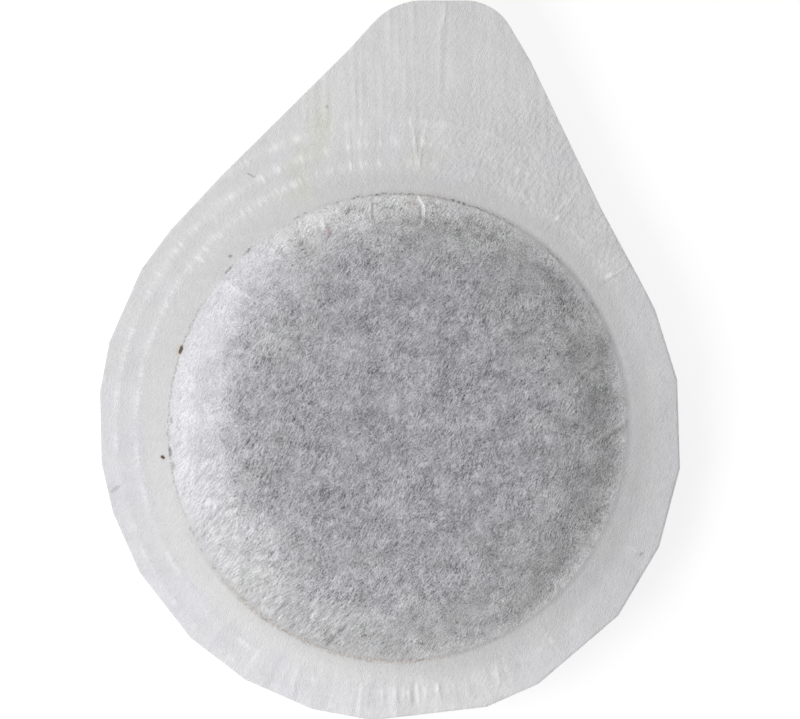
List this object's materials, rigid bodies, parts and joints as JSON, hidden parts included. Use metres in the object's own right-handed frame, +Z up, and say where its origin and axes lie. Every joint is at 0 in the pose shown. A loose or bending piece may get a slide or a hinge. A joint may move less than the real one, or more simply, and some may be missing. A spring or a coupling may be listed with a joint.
{
  "type": "espresso pod",
  "caption": "Soft espresso pod: a round pressed coffee puck sealed between two sheets of filter paper, with an embossed seam and a tapered pull tab.",
  "frame": {"origin": "centre of the flat underside that the pod rests on, straight below the middle of the round pocket", "axes": "+Z up through the pocket, +Y towards the pull tab, +X to the right with the tab pointing away"},
  "size_m": [0.0551, 0.0683, 0.0097],
  "materials": {
    "upper_paper": "matte",
    "lower_paper": "matte",
    "ground_coffee": "matte"
  },
  "bodies": {
    "root": {"upper_paper": "upper_paper", "lower_paper": "lower_paper", "coffee_puck": "ground_coffee"}
  },
  "joints": []
}
